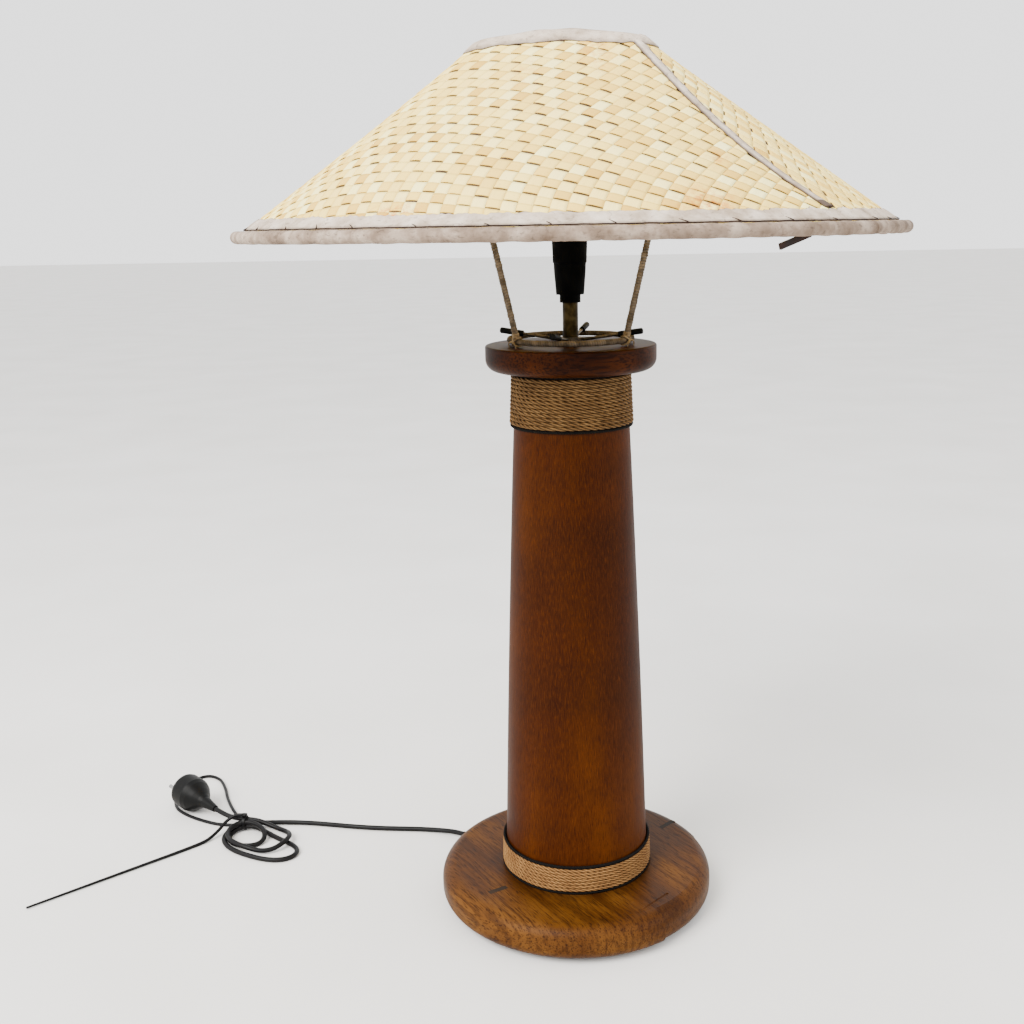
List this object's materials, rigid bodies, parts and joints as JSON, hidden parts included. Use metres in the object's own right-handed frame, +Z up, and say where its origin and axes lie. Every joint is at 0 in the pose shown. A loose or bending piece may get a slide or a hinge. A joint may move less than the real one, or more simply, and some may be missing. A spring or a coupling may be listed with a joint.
{
  "type": "woven shade lamp",
  "caption": "Tall lamp with a turned wooden column on a round base, cord-bound ends, a wide woven straw shade on a wire carrier, and a flexible lead with a plug.",
  "frame": {"origin": "on the floor, under the column's axis", "axes": "+Z up along the column; -Y is the front, the side seen in the picture; +X to the right of that view"},
  "size_m": [0.952, 0.662, 0.912],
  "materials": {
    "base_wood": "satin, diagonal grain with dark flecks",
    "key_wood": "dark, dull",
    "foot_rubber": "matte",
    "plated_steel": "zinc plated",
    "column_wood": "satin, fine vertical flecks",
    "lower_cord": "twisted natural fibre",
    "upper_cord": "twisted natural fibre",
    "dark_cord": "dark, smooth",
    "disc_wood": "dark satin",
    "pole_brass": "aged",
    "pipe_brass": "bright",
    "holder_black": "matte",
    "insert_cream": "matte",
    "contact_brass": "bright",
    "switch_black": "satin",
    "core_sleeve": "satin",
    "hub_metal": "aged bronze lacquer",
    "cap_rubber": "matte",
    "wrapped_wire": "cord-wrapped wire",
    "lashing_cord": "waxed cord",
    "frame_wire": "dull",
    "straw": "woven flat straw",
    "hide": "pale, soft, wrinkled",
    "thong": "dark",
    "cord_black": "matte",
    "plug_black": "matte, moulded",
    "pin_metal": "nickel plated",
    "tie_black": "satin"
  },
  "bodies": {
    "lamp": {"base_disc": "base_wood", "key_inlays": "key_wood", "base_feet": "foot_rubber", "foot_screws": "plated_steel", "base_nut": "plated_steel", "base_washer": "plated_steel", "cord_clamp": "plated_steel", "clamp_screws": "plated_steel", "column": "column_wood", "lower_rope_wrap": "lower_cord", "lower_ring_top": "dark_cord", "lower_ring_bottom": "dark_cord", "upper_rope_wrap": "upper_cord", "upper_ring_top": "dark_cord", "upper_ring_bottom": "dark_cord", "top_disc": "disc_wood", "lamp_pipe": "pipe_brass", "pole_washer": "pole_brass", "pole_tube": "pole_brass", "holder_cap": "holder_black", "holder_screw": "plated_steel", "holder_insert": "insert_cream", "terminal_screws": "contact_brass", "holder_sleeve": "holder_black", "screw_shell": "contact_brass", "centre_contact": "contact_brass", "inner_lead": "cord_black", "lead_cores": "core_sleeve", "strain_relief": "plug_black", "mains_cord": "cord_black", "cord_coil": "cord_black", "plug_lead": "cord_black", "plug_body": "plug_black", "plug_pins": "pin_metal", "cable_tie": "tie_black"},
    "shade": {"spider": "hub_metal", "spider_caps": "cap_rubber", "carrier_ring": "wrapped_wire", "lashings": "lashing_cord", "uprights": "wrapped_wire", "shade_ring": "frame_wire", "shade_ribs": "frame_wire", "top_wire": "frame_wire", "rim_wire": "frame_wire", "woven_skin": "straw", "rim_binding": "hide", "rim_band": "hide", "top_collar": "hide", "seam_strip": "hide", "rim_thong": "thong"},
    "switch": {"switch_bar": "switch_black"}
  },
  "joints": [
    {"name": "shade_turn", "type": "hinge", "parent": "lamp", "child": "shade", "pos_m": [0, 0, 0.6242], "axis": [0, 0, 1], "continuous": true},
    {"name": "switch_push", "type": "slide", "parent": "lamp", "child": "switch", "axis": [-1, 0, 0], "range_m": [0, 0.006]}
  ]
}
